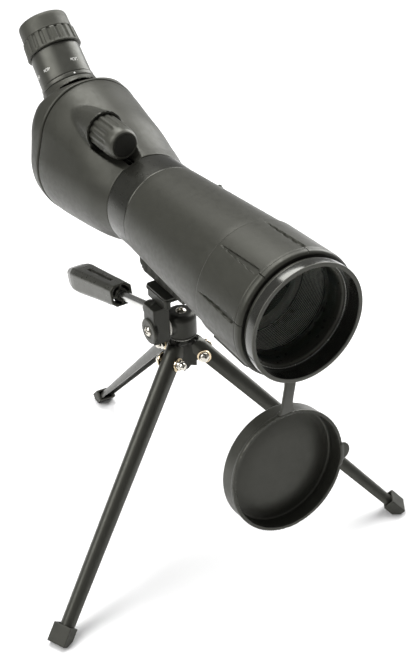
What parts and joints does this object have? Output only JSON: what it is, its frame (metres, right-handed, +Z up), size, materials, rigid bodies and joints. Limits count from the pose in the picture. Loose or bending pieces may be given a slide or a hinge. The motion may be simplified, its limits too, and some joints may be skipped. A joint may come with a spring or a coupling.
{
  "type": "spotting scope",
  "caption": "Angled zoom spotting scope with a round objective hood, a focus knob and a hanging objective cap, on a folding table tripod with a pan and tilt head.",
  "frame": {"origin": "on the floor under the middle of the whole object's box", "axes": "+Z up; the scope looks along -Y; +X is to the right of someone looking along +Y into the objective"},
  "size_m": [0.259, 0.3077, 0.3017],
  "materials": {
    "brass": "machined",
    "bright_steel": "polished",
    "coated_glass": "polished",
    "foot_rubber": "matte",
    "hard_black": "matte",
    "hub_plastic": "satin",
    "leg_paint": "satin",
    "lens_black": "matte",
    "nickel": "polished",
    "nylon": "matte",
    "rubber_armour": "satin",
    "satin_plastic": "satin"
  },
  "bodies": {
    "tripod": {"hub": "hub_plastic", "pivot_bolts": "nickel", "pivot_nuts": "nickel", "pivot_washers": "nickel", "pan_screw": "nickel", "pan_washer": "nylon"},
    "leg_1": {"leg_1": "leg_paint", "boot_1": "foot_rubber"},
    "leg_2": {"leg_2": "leg_paint", "boot_2": "foot_rubber"},
    "leg_3": {"leg_3": "leg_paint", "boot_3": "foot_rubber"},
    "pan_head": {"pan_base": "hard_black", "tilt_bolt": "nickel", "tilt_washer": "nylon"},
    "handle": {"handle_rod": "bright_steel", "handle_grip": "hard_black"},
    "camera_screw": {"camera_screw": "bright_steel", "screw_wheel": "hard_black"},
    "zoom_ring": {"zoom_sleeve": "satin_plastic", "zoom_grip": "rubber_armour"},
    "zoom_front": {"zoom_cell_front": "lens_black"},
    "zoom_rear": {"zoom_cell_rear": "lens_black"},
    "focus_knob": {"focus_knob": "hard_black", "knob_cap": "hard_black", "focus_shaft": "bright_steel"},
    "focus_carriage": {"focus_carriage": "lens_black", "focus_lens": "coated_glass"},
    "tether_loop": {"tether_loop": "rubber_armour"},
    "tether_strap": {"tether_strap": "rubber_armour"},
    "cap": {"objective_cap": "rubber_armour"},
    "scope": {"tilt_disc": "hard_black", "tilt_bracket": "hard_black", "platform_plate": "hard_black", "platform_pad": "foot_rubber", "mount_foot": "hard_black", "foot_insert": "brass", "barrel_tube": "lens_black", "barrel_armour": "rubber_armour", "hood_armour": "rubber_armour", "front_ring": "satin_plastic", "objective_cell": "lens_black", "crown_lens": "coated_glass", "flint_lens": "coated_glass", "retainer_ring": "lens_black", "baffle_tube": "lens_black", "aperture_plates": "lens_black", "strap_lug": "hard_black", "collar": "hard_black", "prism_housing": "rubber_armour", "rear_cover": "rubber_armour", "prism_holder": "lens_black", "erecting_prism": "coated_glass", "guide_rods": "bright_steel", "eyepiece_barrel": "lens_black", "field_stop": "lens_black", "index_ring": "hard_black", "eye_lens": "coated_glass", "eyecup": "rubber_armour"}
  },
  "joints": [
    {"name": "pan", "type": "hinge", "parent": "tripod", "child": "pan_head", "pos_m": [0.0049, -0.0233, 0.15], "axis": [0, 0, 1], "continuous": true},
    {"name": "tilt", "type": "hinge", "parent": "pan_head", "child": "scope", "pos_m": [0.0049, -0.0233, 0.1515], "axis": [1, 0, 0], "range_deg": [-20, 35]},
    {"name": "leg_1_fold", "type": "hinge", "parent": "tripod", "child": "leg_1", "pos_m": [-0.00768, -0.02944, 0.1284], "axis": [0.4384, -0.8988, 0], "range_deg": [0, 44]},
    {"name": "leg_2_fold", "type": "hinge", "parent": "tripod", "child": "leg_2", "pos_m": [0.01651, -0.03113, 0.1284], "axis": [0.5592, 0.829, 0], "range_deg": [0, 44]},
    {"name": "leg_3_fold", "type": "hinge", "parent": "tripod", "child": "leg_3", "pos_m": [0.00588, -0.00933, 0.1284], "axis": [-0.9976, 0.0698, 0], "range_deg": [0, 44]},
    {"name": "handle_turn", "type": "hinge", "parent": "scope", "child": "handle", "pos_m": [-0.0116, -0.0151, 0.1622], "axis": [0, 0.9636, -0.2672], "continuous": true},
    {"name": "camera_screw_turn", "type": "hinge", "parent": "scope", "child": "camera_screw", "pos_m": [0.0049, -0.0193, 0.172], "axis": [0, 0, 1], "continuous": true},
    {"name": "zoom_turn", "type": "hinge", "parent": "scope", "child": "zoom_ring", "pos_m": [0.0049, 0.0722, 0.22], "axis": [0, 0.7071, 0.7071], "range_deg": [-13, 92]},
    {"name": "zoom_front_slide", "type": "slide", "parent": "scope", "child": "zoom_front", "axis": [0, 0.7071, 0.7071], "range_m": [-0.0012, 0.008]},
    {"name": "zoom_rear_slide", "type": "slide", "parent": "scope", "child": "zoom_rear", "axis": [0, 0.7071, 0.7071], "range_m": [-0.0086, 0.0013]},
    {"name": "focus_turn", "type": "hinge", "parent": "scope", "child": "focus_knob", "pos_m": [-0.0076, 0.0267, 0.2574], "axis": [0, 1, 0], "range_deg": [-270, 270]},
    {"name": "focus_slide", "type": "slide", "parent": "scope", "child": "focus_carriage", "axis": [0, 1, 0], "range_m": [-0.005, 0.005]},
    {"name": "tether_turn", "type": "hinge", "parent": "scope", "child": "tether_loop", "pos_m": [0.0049, -0.1461, 0.22], "axis": [0, 1, 0], "range_deg": [-30, 30]},
    {"name": "strap_swing", "type": "hinge", "parent": "tether_loop", "child": "tether_strap", "pos_m": [-0.0007, -0.1461, 0.1823], "axis": [1, 0, 0], "range_deg": [-40, 40]},
    {"name": "cap_swing", "type": "hinge", "parent": "tether_strap", "child": "cap", "pos_m": [-0.0007, -0.14355, 0.15983], "axis": [1, 0, 0], "range_deg": [-30, 60]}
  ],
  "couplings": [
    {"joint": "zoom_front_slide", "follows": "zoom_turn", "m_per_rad": 0.004638},
    {"joint": "zoom_rear_slide", "follows": "zoom_turn", "m_per_rad": -0.005184},
    {"joint": "focus_slide", "follows": "focus_turn", "m_per_rad": 0.001019}
  ]
}
